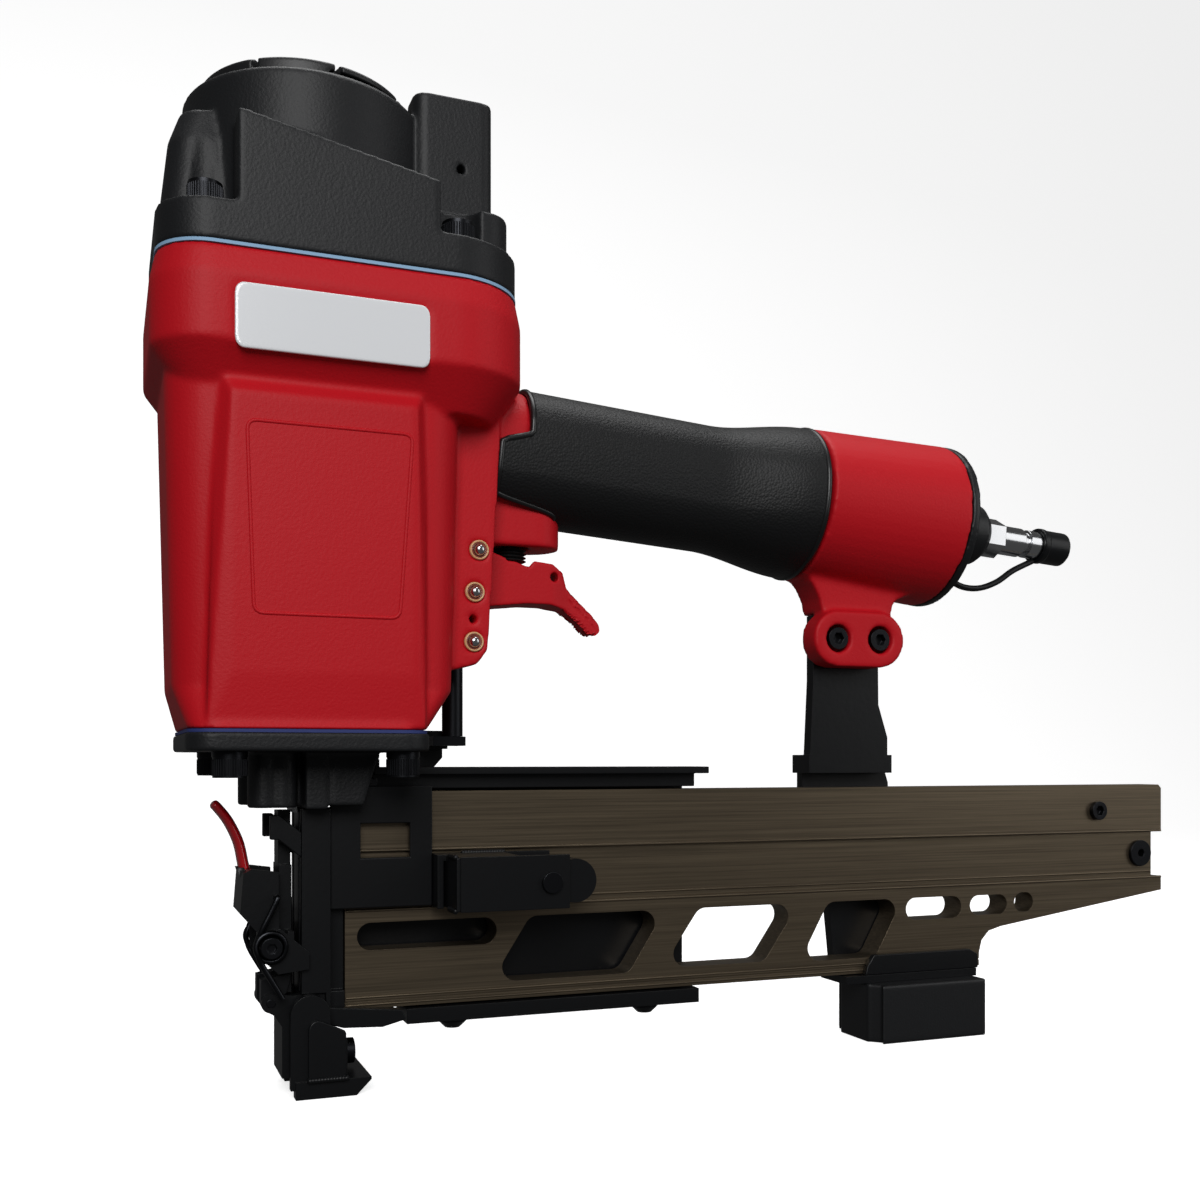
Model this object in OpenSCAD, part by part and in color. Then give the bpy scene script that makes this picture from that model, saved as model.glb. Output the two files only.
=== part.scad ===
// Pneumatic flooring nailer with a sliding staple magazine and a rear mounting foot.
// +X runs from the nose to the air plug, -Y is the operator's left, +Z is up.
// The origin is on the floor, under the driver blade. Millimetres.

/* [Body] */
// Height of the nose casting's upper face above the floor
base_z = 117.4; // [110:0.2:125]
// Height of the body casting between its two gaskets
body_h = 142.6; // [136:0.2:150]
// Thickness of each gasket
gasket_t = 1; // [0.6:0.1:1.5]
// Distance of the cylinder's axis behind the driver blade
bore_x = 4; // [2:0.5:6]
// Half width of the body at the head flange
head_half_w = 42; // [40:0.5:44]
// Bore radius of the cylinder sleeve
bore_r = 25; // [22:0.5:26]
// Piston stroke
stroke = 88; // [80:1:90]

/* [Handle] */
// Where the grip's axis starts behind the driver blade
grip_x = 85; // [83:0.5:88]
// Height of the grip's axis there
grip_z = 215.4; // [213:0.2:218]
// Fall of the handle towards the rear, in degrees
tilt = 4.3; // [3:0.1:5.5]
// Length of the grip sleeve behind that point
grip_l = 106; // [100:1:110]
// Radius of the rear housing at its open end
housing_r = 31.8; // [30:0.2:33]

/* [Nose] */
// Thickness of the driver blade
blade_t = 1.6; // [1.2:0.1:1.8]
// Width of the driver blade
blade_w = 12.6; // [11:0.2:13]
// Travel of the contact foot
contact_travel = 5; // [3:0.5:5.5]

/* [Magazine] */
// Thickness of the magazine rail
rail_t = 11; // [10:0.2:12]
// Height of the rail's lower edge
rail_z = 25.9; // [25.5:0.1:26.2]
// Height of the rail's upper edge
rail_top = 98.5; // [97.5:0.1:98.8]
// Where the rail's front end is
rail_x = 16.5; // [16.4:0.1:17]
// Where the rail's rear end is
rail_end = 368.5; // [360:0.5:372]

/* [Foot] */
// Length of the rear foot block
foot_l = 51; // [46:1:54]
// Height of the rear foot block
foot_h = 22.4; // [21:0.1:22.6]

/* [Hidden] */
$fn = 64;
e = 0.01;
body_z0 = base_z + gasket_t;
body_z1 = body_z0 + body_h;
cap_z = body_z1 + gasket_t;
shelf_z = cap_z + 12.5;
dome_z = cap_z + 58;
dome_r = 38.7;
base_screw_x = [-22.8, 30.2];
base_screw_y = 31.6;
cap_screw_x = [-30.1, 47.5];
cap_screw_y = 34;
chamber_r = 33;
sleeve_r = bore_r + 3;
pin_z = [179.2, 165.1, 148.5];
pin_x = [58.6, 57.1, 56.8];
ear_y = 20;
plate_y0 = 7.6;
plate_y1 = 11.6;
groove_z0 = 59;
groove_z1 = 78.5;
bolt_x = -8.7;
bolt_z = 49.4;
hinge_x = -8;
hinge_z = 30.6;
clamp_x = [202.4, 221];
clamp_z = 155.4;
foot_x = 217;
catch_pin_x = 80.8;
catch_pin_z = 68.3;

// A round bar between two points, with round ends a hair proud of it
module rod(p, q, r) {
    d = q - p;
    l = norm(d);
    translate(p) rotate([0, acos(d[2] / l), atan2(d[1], d[0])]) cylinder(r = r, h = l);
    translate(p) sphere(r + 0.03, $fn = 24);
    translate(q) sphere(r + 0.03, $fn = 24);
}

// A box given by its two corners
module block(a, b) {
    translate(a) cube(b - a);
}

// A cylinder along Y between two sides
module y_bar(x, z, r, y0, y1) {
    translate([x, y0, z]) rotate([-90, 0, 0]) cylinder(r = r, h = y1 - y0);
}

// A plate cut to an outline in the XZ plane, between two sides
module xz_plate(y0, y1) {
    translate([0, y1, 0]) rotate([90, 0, 0]) linear_extrude(y1 - y0) children();
}

// Both sides of the nose
module both_sides() {
    children();
    mirror([0, 1, 0]) children();
}

// Places children along the handle's axis: their Z runs to the rear, their X down
module on_handle(s) {
    translate([grip_x + s * cos(tilt), 0, grip_z - s * sin(tilt)]) rotate([0, 90 + tilt, 0])
        children();
}

module oval(r, half) {
    for (s = [-1, 1]) translate([s * half, 0]) circle(r);
    square([2 * half, 2 * r], center = true);
}

module rounded_box(a, b, r) {
    for (x = [a[0] + r, b[0] - r], y = [a[1] + r, b[1] - r]) translate([x, y]) circle(r);
    translate([a[0] + r, a[1]]) square([b[0] - a[0] - 2 * r, b[1] - a[1]]);
    translate([a[0], a[1] + r]) square([b[0] - a[0], b[1] - a[1] - 2 * r]);
}

// Plan of the head flange: a blunt front and a wide round rear
module head_plan(grow) {
    w = head_half_w;
    for (t = [-1, 1]) {
        translate([-28, t * (w - 16)]) circle(16 + grow, $fn = 32);
        translate([45, t * (w - 26)]) circle(26 + grow, $fn = 48);
    }
    translate([-28, -w - grow]) square([73, 2 * w + 2 * grow]);
    translate([-44 - grow, 16 - w]) square([60, 2 * w - 32]);
    translate([0, 26 - w]) square([71 + grow, 2 * w - 52]);
}

module head_slab(z, grow) {
    translate([0, 0, z]) linear_extrude(0.1) head_plan(grow);
}

// Plan of the barrel under the head
module barrel_plan(grow) {
    for (x = [-27, 36], t = [-1, 1]) translate([x, t * 21]) circle(13 + grow, $fn = 32);
    translate([-27, -34 - grow]) square([63, 68 + 2 * grow]);
    translate([-40 - grow, -21]) square([89 + 2 * grow, 42]);
}

module barrel_slab(z, grow) {
    translate([0, 0, z]) linear_extrude(0.1) barrel_plan(grow);
}

module base_plan(grow) {
    rounded_box([-35 - grow, -40 - grow], [37.5 + grow, 40 + grow], 9);
}

module body_casting() color("crimson") difference() {
    union() {
        hull() { head_slab(body_z1 - 0.1, 0); head_slab(body_z1 - 8.6, 1.8); }
        translate([0, 0, body_z1 - 28]) linear_extrude(19.6) head_plan(1.8);
        hull() { head_slab(body_z1 - 28, 1.8); head_slab(body_z1 - 41, -8); }
        hull() { barrel_slab(body_z1 - 35, 1.5); barrel_slab(body_z0 + 13, -0.8); }
        hull() {
            barrel_slab(body_z0 + 13, -0.8);
            translate([0, 0, body_z0]) linear_extrude(0.1) base_plan(0);
        }
        hull() {
            block([-23, -40, body_z0 + 17], [33, 40, body_z1 - 42]);
            block([-30, -38.6, body_z0], [36, 38.6, body_z0 + 1]);
            block([-27, -34, body_z0 + 17], [37, 34, body_z1 - 33]);
        }
        // trigger ears
        xz_plate(-ear_y, ear_y) polygon([[38, 224], [66, 224], [65.5, 206], [61.8, 146],
                                         [58, 141], [50, 139], [38, 141]]);
        // handle root, core and rear housing
        block([46, -18.2, 192], [60, 18.2, 238]);
        on_handle(-30) linear_extrude(22) oval(17.6, 4.4);
        on_handle(-12) linear_extrude(grip_l + 14) oval(15.5, 4.4);
        on_handle(grip_l + 0.3) cylinder(r1 = 29, r2 = housing_r, h = 59);
        // trigger valve housing
        translate([0, 0, 183.3]) linear_extrude(18) union() {
            translate([60, -10.5]) square([22.5, 21]);
            translate([82.5, 0]) circle(10.5);
        }
        // neck over the rear bracket, with the clamp lug on its near side
        xz_plate(-9.4, 6) polygon([[192, 190], [192, 177.6], [194.2, 174.8], [196.2, 170.8],
                                   [197.4, 165.4], [228.4, 165.4], [228.8, 169.2], [230.8, 171.6],
                                   [236, 173.6], [246, 176], [246, 190]]);
        xz_plate(-9.4, -2.6) polygon([[197.4, 150], [197.4, 166], [228.4, 166], [228.4, 150]]);
        xz_plate(-13, -2.6) {
            for (x = clamp_x) translate([x, clamp_z]) circle(10.6);
            translate([clamp_x[0], clamp_z - 10.6]) square([clamp_x[1] - clamp_x[0], 21.2]);
        }
    }
    // cylinder chamber
    translate([bore_x, 0, body_z0 + 5.6]) cylinder(r = chamber_r, h = body_h);
    translate([bore_x, 0, body_z0 - 1]) cylinder(r = 24, h = 10);
    // air reservoir in the handle and rear housing
    on_handle(-50) linear_extrude(grip_l + 60) oval(11.5, 4.4);
    on_handle(grip_l + 6) cylinder(r = 27, h = 60);
    // trigger slot, cross pin holes and trigger valve bore
    block([50, -7.5, 130], [75, 7.5, 183.3 + e]);
    for (i = [0:2]) y_bar(pin_x[i], pin_z[i], 2.05, -ear_y - 1, ear_y + 1);
    for (i = [0:2], s = [-1, 1]) y_bar(pin_x[i], pin_z[i], 3.4, s * 19.2 - 1.2, s * 19.2 + 1.2);
    y_bar(56.6, 156.1, 1.5, -ear_y - 1, ear_y + 1);
    translate([75, 0, 175]) cylinder(r = 7, h = 26);
    // screw holes of the clamp lug
    for (x = clamp_x) {
        y_bar(x, clamp_z, 2.6, -14, 14);
        y_bar(x, clamp_z, 5.3, -14, -7.5);
    }
    // holes of the cap and base screws
    for (x = cap_screw_x, s = [-1, 1])
        translate([x, s * cap_screw_y, body_z1 - 22]) cylinder(r = 3, h = 30);
    for (x = base_screw_x, s = [-1, 1])
        translate([x, s * base_screw_y, body_z0 - 1]) cylinder(r = 3, h = 13);
    // seat of the label plates
    for (s = [-1, 1]) mirror([0, s > 0 ? 1 : 0, 0])
        xz_plate(-50, -head_half_w - 1.2) rounded_box([-23, 229.6], [36.5, 250.4], 3);
}

module base_gasket() color("midnightblue") difference() {
    translate([0, 0, base_z]) linear_extrude(gasket_t) base_plan(0.3);
    translate([bore_x, 0, base_z - 1]) cylinder(r = 24, h = 4);
    for (x = base_screw_x, s = [-1, 1])
        translate([x, s * base_screw_y, base_z - 1]) cylinder(r = 3.1, h = 4);
}

module nose_casting() color([0.12, 0.12, 0.12]) difference() {
    union() {
        translate([0, 0, base_z - 5.7]) linear_extrude(5.7) base_plan(0.9);
        block([1.5, -20, base_z - 24], [8.5, 20, base_z - 5]);
        for (s = [-1, 1]) {
            for (x = [-11, -5.4]) translate([x, s * 15, base_z - 23.5]) cylinder(r = 5, h = 20);
            hull() {
                block([10, s * 15 - 5, base_z - 23], [20, s * 15 + 5, base_z - 22]);
                block([10, s * 15 - 5, base_z - 5], [25.6, s * 15 + 5, base_z - 4]);
            }
            block([-13, s * 11.5 - 3, base_z - 23], [-1.6, s * 11.5 + 3, base_z - 5]);
        }
        block([-6, -12, base_z - 23], [10.8, 12, base_z - 5]);
    }
    translate([bore_x, 0, base_z - 3]) cylinder(r = 24, h = 5);
    block([-1.3, -6.8, base_z - 30], [1.3, 6.8, base_z]);
    for (x = base_screw_x, s = [-1, 1])
        translate([x, s * base_screw_y, base_z - 8]) cylinder(r = 3.2, h = 10);
}

module cap_screw(r, h) {
    difference() {
        cylinder(r = r, h = h);
        translate([0, 0, h - r * 0.55]) cylinder(r = r * 0.55, h = h, $fn = 6);
    }
}

module base_screws() color("dimgray")
    for (x = base_screw_x, s = [-1, 1]) translate([x, s * base_screw_y, base_z - 5.7]) {
        mirror([0, 0, 1]) cylinder(r = 5.3, h = 1.8);
        translate([0, 0, -1.8]) mirror([0, 0, 1]) cap_screw(5.1, 6.2);
        translate([0, 0, -0.5]) cylinder(r = 2.98, h = 18);
    }

module head_gasket() color("steelblue") difference() {
    translate([0, 0, body_z1]) linear_extrude(gasket_t) head_plan(0.2);
    translate([bore_x, 0, body_z1 - 1]) cylinder(r = chamber_r, h = 4);
    for (x = cap_screw_x, s = [-1, 1])
        translate([x, s * cap_screw_y, body_z1 - 1]) cylinder(r = 3.1, h = 4);
}

module head_cap() color([0.13, 0.13, 0.14]) difference() {
    union() {
        translate([0, 0, cap_z]) linear_extrude(12.5) head_plan(0);
        translate([bore_x, 0, cap_z]) cylinder(r = dome_r, h = 56.5);
        translate([bore_x, 0, cap_z + 56.5 - e]) cylinder(r1 = dome_r, r2 = dome_r - 1.5, h = 1.5);
        // raised side pads with a falling top edge
        xz_plate(-head_half_w, head_half_w)
            polygon([[-21.5, cap_z + 5], [-21.5, cap_z + 40.5], [40, cap_z + 28.5], [40, cap_z + 5]]);
        // front block
        hull() {
            translate([0, 0, cap_z + 5]) linear_extrude(0.1) rounded_box([-43.6, -28], [-12, 28], 9);
            translate([0, 0, cap_z + 36]) linear_extrude(0.1) rounded_box([-40, -26], [-12, 26], 8);
            translate([0, 0, cap_z + 46]) linear_extrude(0.1) rounded_box([-36.5, -24], [-12, 24], 8);
        }
        // rear lug that carries the valve passage
        translate([0, 0, cap_z + 5]) linear_extrude(60) rounded_box([36, -24], [62.5, 24], 4);
        translate([0, 0, cap_z + 5]) linear_extrude(20.5) rounded_box([35, -32], [67, 32], 10);
    }
    for (x = cap_screw_x, s = [-1, 1]) translate([x, s * cap_screw_y, cap_z - 1]) {
        cylinder(r = 3.1, h = 30);
        translate([0, 0, 13.5]) cylinder(r = 8.2, h = 60);
    }
    translate([bore_x, 0, cap_z - 1]) cylinder(r = chamber_r, h = 37);
    translate([bore_x, 0, cap_z]) cylinder(r = 12, h = 70);
    y_bar(51.3, 303.4, 1.5, -26, -18);
    translate([bore_x, 0, dome_z]) cylinder(r = 34.3, h = 20);
}

module cap_screws() color("dimgray")
    for (x = cap_screw_x, s = [-1, 1]) translate([x, s * cap_screw_y, shelf_z]) {
        cap_screw(5.1, 6.2);
        translate([0, 0, -30]) cylinder(r = 2.98, h = 30.5);
    }

// Round swivelling deflector, slotted round its rim
module exhaust_deflector() color([0.1, 0.1, 0.1]) translate([bore_x, 0, dome_z + 0.3])
    difference() {
        union() {
            cylinder(r = 33.5, h = 4.4);
            translate([0, 0, 4.4 - e]) cylinder(r1 = 33.5, r2 = 30, h = 1.8);
        }
        translate([0, 0, -1]) cylinder(r = 28, h = 3.6);
        translate([0, 0, -1]) cylinder(r = 3.05, h = 10);
        for (i = [0:7]) rotate(i * 45 + 10) translate([27, -1, 1.5]) cube([10, 2, 6]);
        rotate(-60) translate([20, -14, -1]) cube([20, 28, 3.4]);
    }

module deflector_screw() color("gray") translate([bore_x, 0, dome_z + 6.9]) {
    cap_screw(4.6, 1.6);
    translate([0, 0, -22]) cylinder(r = 3, h = 22.1);
    translate([0, 0, -22]) cylinder(r = 11.9, h = 3);
}

module label_plates() color("white") for (s = [0, 1]) mirror([0, s, 0])
    xz_plate(-head_half_w - 2.4, -head_half_w - 1.2) rounded_box([-22.5, 230.2], [36, 249.8], 3);

module cylinder_sleeve() color("silver") translate([bore_x, 0, 0]) difference() {
    union() {
        translate([0, 0, body_z0 + 5.6]) cylinder(r = sleeve_r, h = 124);
        translate([0, 0, 188]) cylinder(r = chamber_r - 0.05, h = 5);
    }
    translate([0, 0, body_z0]) cylinder(r = bore_r, h = 140);
    translate([0, 0, 189.2]) difference() {
        cylinder(r = chamber_r + 1, h = 2.6);
        translate([0, 0, -1]) cylinder(r = chamber_r - 2, h = 5);
    }
    for (i = [0:7]) rotate(i * 45) translate([0, 0, 145]) rotate([0, 90, 0])
        cylinder(r = 1.6, h = 40, $fn = 24);
}

module sleeve_seals() color([0.1, 0.1, 0.1]) translate([bore_x, 0, 189.3]) difference() {
    cylinder(r = chamber_r - 0.02, h = 2.4);
    translate([0, 0, -1]) cylinder(r = chamber_r - 1.98, h = 5);
}

module bumper() color("darkgreen") translate([bore_x, 0, 0]) difference() {
    union() {
        translate([0, 0, base_z - 3]) cylinder(r = 23.9, h = 9.8);
        translate([0, 0, body_z0 + 5.6]) cylinder(r = bore_r - 0.1, h = 8);
    }
    translate([-bore_x - 1.6, -7.2, base_z - 5]) cube([3.2, 14.4, 30]);
}

module piston() color("silver") translate([bore_x, 0, 0]) difference() {
    union() {
        translate([0, 0, body_z0 + 14 + stroke]) cylinder(r = bore_r - 0.3, h = 14);
    }
    translate([0, 0, body_z0 + 14 + stroke + 5.6]) difference() {
        cylinder(r = bore_r + 1, h = 3);
        translate([0, 0, -1]) cylinder(r = bore_r - 2.4, h = 6);
    }
    translate([-bore_x - blade_t / 2, -blade_w / 2, body_z0 + 13 + stroke])
        cube([blade_t, blade_w, 11]);
}

module piston_ring() color([0.1, 0.1, 0.1])
    translate([bore_x, 0, body_z0 + 14 + stroke + 5.7]) difference() {
        cylinder(r = bore_r - 0.06, h = 2.8);
        translate([0, 0, -1]) cylinder(r = bore_r - 2.3, h = 5);
    }

module driver_blade() color("gray")
    block([-blade_t / 2, -blade_w / 2, 92], [blade_t / 2, blade_w / 2, body_z0 + 24 + stroke]);

module head_valve() color([0.9, 0.9, 0.85]) translate([bore_x, 0, body_z0 + 129.9]) difference() {
    cylinder(r = chamber_r - 0.5, h = 18);
    translate([0, 0, -1]) cylinder(r = 11, h = 30);
    translate([0, 0, 8]) cylinder(r = 26, h = 20);
}

module head_valve_spring() color("gray") translate([bore_x, 0, body_z0 + 138.4])
    difference() {
        cylinder(r = 25, h = cap_z + 36 - body_z0 - 138.7);
        translate([0, 0, -1]) cylinder(r = 22, h = 60);
    }

// Rubber sleeve: straight, flared to the housing, with side tongues at its front
module grip_sleeve() color([0.15, 0.15, 0.15]) difference() {
    union() {
        on_handle(-8) linear_extrude(grip_l - 14) oval(19, 4.4);
        hull() {
            on_handle(77) linear_extrude(1) oval(18.98, 4.4);
            on_handle(grip_l - 7) linear_extrude(6.9) oval(27.4, 1.3);
        }
        both_sides() xz_plate(-20.2, -15) rounded_box([66.4, 197.6], [94, 217.4], 4);
    }
    on_handle(-30) linear_extrude(grip_l + 60) oval(15.7, 4.4);
    // clear of the handle root and the valve housing
    on_handle(-32) linear_extrude(24.1) oval(17.9, 4.4);
    block([44, -18.5, 191], [60.3, 18.5, 239]);
    block([60, -11.2, 180], [93.4, 11.2, 201.5]);
    block([70, -30, 180], [89.5, 30, 197]);
}

module end_cap() color([0.1, 0.1, 0.1]) difference() {
    union() {
        on_handle(grip_l + 59.4) cylinder(r = housing_r, h = 3.4);
        on_handle(grip_l + 62.8 - e) cylinder(r1 = 30, r2 = 16, h = 3.2);
        on_handle(grip_l + 50) cylinder(r = 26.8, h = 10);
    }
    on_handle(grip_l + 40) cylinder(r = 9, h = 60);
}

module plug_bush() color([0.1, 0.1, 0.1]) difference() {
    union() {
        on_handle(grip_l + 66.1) cylinder(r = 12.2, h = 16);
        on_handle(grip_l + 82.1 - e) cylinder(r1 = 12.2, r2 = 9.6, h = 3.3);
        on_handle(grip_l + 56) cylinder(r = 8.9, h = 12);
    }
    on_handle(grip_l + 60) cylinder(r = 6.6, h = 40);
}

// Hex nipple of the quick coupling, hollow for the air
module air_plug() color("silver") difference() {
    union() {
        on_handle(grip_l + 72) cylinder(r = 6.5, h = 15);
        on_handle(grip_l + 85.6) cylinder(r = 8.1, h = 9, $fn = 6);
        on_handle(grip_l + 94.5) cylinder(r = 5.9, h = 11.6);
        on_handle(grip_l + 106) cylinder(r = 4.4, h = 3.2);
        on_handle(grip_l + 109.1) cylinder(r = 5.7, h = 10);
    }
    on_handle(grip_l + 60) cylinder(r = 3.2, h = 80);
}

// Push-on dust cap over the plug's end
module dust_cap() color([0.08, 0.08, 0.08]) difference() {
    union() {
        on_handle(grip_l + 115) cylinder(r = 7.3, h = 2.4);
        on_handle(grip_l + 117) cylinder(r = 6.9, h = 11);
    }
    on_handle(grip_l + 113) cylinder(r = 5.76, h = 6.3);
}

module dust_cap_tether() color([0.08, 0.08, 0.08]) {
    pts = [[257.8, 0, 187.5], [263, 0, 183.6], [270, 0, 180.4], [277.5, 0, 180.2], [286, 0, 183.8],
           [293.5, 0, 188.2], [303.4, 0, 191.4]];
    for (i = [0:len(pts) - 2]) rod(pts[i], pts[i + 1], 1.2);
}

module trigger() color("crimson") difference() {
    xz_plate(-6.8, 6.8) union() {
        polygon([[54, 170], [58, 173.2], [64, 175.6], [66, 181.6], [80.5, 176.6], [82.5, 178.9], [89.5, 178.2],
                 [93.4, 175.4], [94.8, 170], [100, 165], [104.5, 161], [107.5, 157.4],
                 [107.8, 155.2], [106, 153.8], [103.4, 154.4], [99.4, 158.6], [94, 162.4],
                 [88, 163.8], [80, 163.8], [57, 161.2]]);
        translate([pin_x[1], pin_z[1]]) circle(4.6);
    }
    y_bar(pin_x[1], pin_z[1], 2.08, -10, 10);
    y_bar(90, 173.6, 1.6, -10, 10);
    // hollow between the trigger's cheeks, over the valve stem
    block([66.5, -4.6, 176.2], [86, 4.6, 190]);
    translate([75, 0, 178.4]) cylinder(r = 7.2, h = 10);
}

module trigger_pins() color("silver") for (i = [0:2])
    y_bar(pin_x[i], pin_z[i], 2.0, -ear_y - 0.6, ear_y + 0.6);

module pin_grommets() color("tan") for (i = [0:2], s = [-1, 1]) difference() {
    y_bar(pin_x[i], pin_z[i], 3.38, s * 19.2 - 1.15, s * 19.2 + 1.15);
    y_bar(pin_x[i], pin_z[i], 2.02, -ear_y - 2, ear_y + 2);
}

module valve_body() color("gray") difference() {
    translate([75, 0, 186]) cylinder(r = 6.98, h = 14.9);
    translate([75, 0, 180]) cylinder(r = 2.3, h = 17);
}

module valve_stem() color("silver") {
    translate([75, 0, 176.6]) cylinder(r = 2.2, h = 16);
}

module valve_boot() color([0.1, 0.1, 0.1]) translate([75, 0, 180.4]) difference() {
    for (i = [0:3]) translate([0, 0, i * 1.3]) {
        cylinder(r1 = 4.2, r2 = 5.8, h = 0.66);
        translate([0, 0, 0.65]) cylinder(r1 = 5.8, r2 = 4.2, h = 0.66);
    }
    translate([0, 0, -1]) cylinder(r = 2.4, h = 10);
}

// Welded shoe that is pressed to the floor before the nailer can fire
module contact_foot() color([0.15, 0.15, 0.15]) {
    difference() {
        union() {
            block([-1, -16, 0], [23.4, 16, 5.8]);
            both_sides() {
                xz_plate(12.2, 15.4) union() {
                    translate([3.8, 27]) circle(6.3);
                    translate([-2.5, 3]) square([12.6, 24]);
                }
                xz_plate(12.6, 15) polygon([[9, 5], [15.7, 5], [15.7, 18], [9, 23]]);
            }
            block([11.4, -15, 5], [15.7, 15, 15.5]);
        }
        block([-3, -10.8, -1], [10.9, 10.8, 30]);
        translate([18.5, -17, 0]) rotate([0, -45, 0]) translate([0, 0, -6]) cube([9, 34, 6]);
        translate([8, 0, 11.3]) rotate([0, 90, 0]) cylinder(r = 2.6, h = 12);
    }
}

module contact_screw() color("dimgray") translate([15.7, 0, 11.3]) rotate([0, 90, 0]) {
    cap_screw(4.25, 4.6);
    translate([0, 0, -4]) cylinder(r = 2.5, h = 4.1);
}

// Flat link up the far side of the nose to the trigger
module contact_link() color([0.12, 0.12, 0.12]) {
    xz_plate(15.4, 17.4) polygon([[-1, 18], [9, 18], [9, 50], [32, 84], [55, 110], [55, 119.5],
                                  [46, 119.5], [46, 114], [24, 89], [-1, 58]]);
    block([46, 8, 113], [55, 17.4, 119.4]);
}

module safety_rod() color("silver") {
    translate([54.6, 0, 117]) cylinder(r = 2, h = 23);
    block([47, -3.6, 114], [58.4, 8, 117.2]);
}

module safety_spring() color("gray") translate([54.6, 0, 117.3]) difference() {
    cylinder(r = 3.6, h = 29.1);
    translate([0, 0, -1]) cylinder(r = 2.5, h = 40);
}

// Hardened cheeks of the nose, with a tail that carries the magazine
module nose_plates() color([0.16, 0.16, 0.17]) both_sides() xz_plate(-plate_y1, -plate_y0)
    polygon([[1.4, 33], [1.4, 93.4], [10.9, 93.4], [10.9, 28.2], [34.6, 26], [36, 22.6],
             [28, 20.6], [15, 21.2], [9.2, 23], [9.2, 33]]);

module nose_tip() color([0.16, 0.16, 0.17]) difference() {
    union() {
        xz_plate(-10.4, 10.4) polygon([[-4.6, 6.2], [9.1, 6.2], [9.1, 32.8], [-2, 32.8],
                                       [-4.6, 28]]);
        both_sides() xz_plate(-10.4, -8.9) union() {
            translate([hinge_x, hinge_z]) circle(3.1);
            polygon([[-10.4, 28.6], [-7, 26.6], [-4, 22], [-1.8, 32.8], [-7, 33.5]]);
        }
    }
    block([-1.2, -6.8, 0], [1.2, 6.8, 40]);
    y_bar(hinge_x, hinge_z, 1.53, -20, 20);
}

module rail_tip() color([0.2, 0.2, 0.21]) union() {
    xz_plate(-5.3, 5.3) polygon([[1.4, 33], [9.2, 33], [9.2, 25.4], [rail_x - 0.4, 25.4],
                                 [rail_x - 0.4, 93.2], [1.4, 93.2]]);
    block([11, -7.6, 25.4], [rail_x - 0.4, 7.15, 33]);
}

module hook_arms() color([0.12, 0.12, 0.12]) both_sides() {
    xz_plate(-11.6, -8.6) polygon([[-8.4, 91.2], [-8.4, 83.4], [-5.8, 83.4], [1.4, 77.4],
                                   [1.4, 85.6], [-5.4, 91.2]]);
}

// Front door of the driver channel
module nose_door() color([0.14, 0.14, 0.15]) difference() {
    union() {
        block([-5.2, -7.4, 33.4], [-1.2, 7.4, 75]);
        block([-5.2, -5, 75], [-1.2, 5, 92.6]);
        both_sides() xz_plate(-13.8, -12) polygon([[-12, 53], [-5.5, 55], [3.6, 47], [3.6, 41.5],
                                                  [-6, 40.4], [-12, 46]]);
        both_sides() block([-3.2, -13.8, 41], [-1.2, -7, 54]);
        both_sides() xz_plate(-8.6, -4) union() {
            translate([hinge_x, hinge_z]) circle(3);
            polygon([[-11, 30.6], [-8, 30.6], [-3, 33.4], [-1.2, 40], [-11, 38]]);
        }
    }
    y_bar(hinge_x, hinge_z, 1.56, -20, 20);
    y_bar(bolt_x, bolt_z, 2.05, -20, 20);
}

module door_pin() color("gray") y_bar(hinge_x, hinge_z, 1.5, -10.6, 10.6);

module latch_lever() color([0.12, 0.12, 0.12]) difference() {
    union() {
        both_sides() xz_plate(-11.6, -9.8) polygon([[-12.4, 47], [-6.8, 45.4], [-5.6, 52],
                                                   [-5.8, 73], [-14.2, 74.2], [-16.8, 72.8],
                                                   [-17.8, 60], [-12.6, 54]]);
        xz_plate(-10, 10) polygon([[-14.2, 74.2], [-16.8, 72.8], [-17.8, 60], [-16.2, 59.6],
                                   [-15, 72]]);
        xz_plate(-4, 4) polygon([[-14.6, 71], [-17, 71], [-20.3, 81.4], [-26.8, 91.7],
                                 [-26, 92.4], [-18.8, 82]]);
    }
    y_bar(bolt_x, bolt_z, 2.05, -20, 20);
}

module latch_handle() color("red") difference() {
    xz_plate(-5.4, 5.4) polygon([[-13.8, 75.4], [-17.8, 74.4], [-21.8, 81.4], [-28.2, 91.4],
                                 [-28.6, 93.4], [-27.4, 95], [-25.4, 94.8], [-20.2, 87.4],
                                 [-16.8, 81.4]]);
    xz_plate(-4.05, 4.05) polygon([[-14.4, 71], [-17.1, 71], [-20.4, 81.4], [-26.9, 91.8],
                                   [-25.9, 92.6], [-18.6, 82]]);
}

// Spring wire with one coil round each end of the pivot bolt
module latch_wire() color("gray") both_sides() {
    xz_plate(-16.2, -14.2) polygon([[-7.4, 66], [-5.8, 65.2], [-10.8, 54.9], [-12.6, 55.6]]);
    xz_plate(-16.2, -14.2) polygon([[-13.6, 47], [-12, 47.4], [-4.2, 33], [-5.8, 32.2]]);
    block([-7.6, -15, 64.2], [-5.9, -11.8, 65.9]);
    difference() {
        y_bar(bolt_x, bolt_z, 5.7, -16.2, -14.2);
        y_bar(bolt_x, bolt_z, 3.6, -17, -13);
    }
}

module latch_bolt() color("dimgray") {
    y_bar(bolt_x, bolt_z, 2, -16.4, 16.4);
    both_sides() difference() {
        y_bar(bolt_x, bolt_z, 3.4, -18.2, -16.4);
        y_bar(bolt_x, bolt_z, 1.6, -19, -17, $fn = 6);
    }
}

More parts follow.
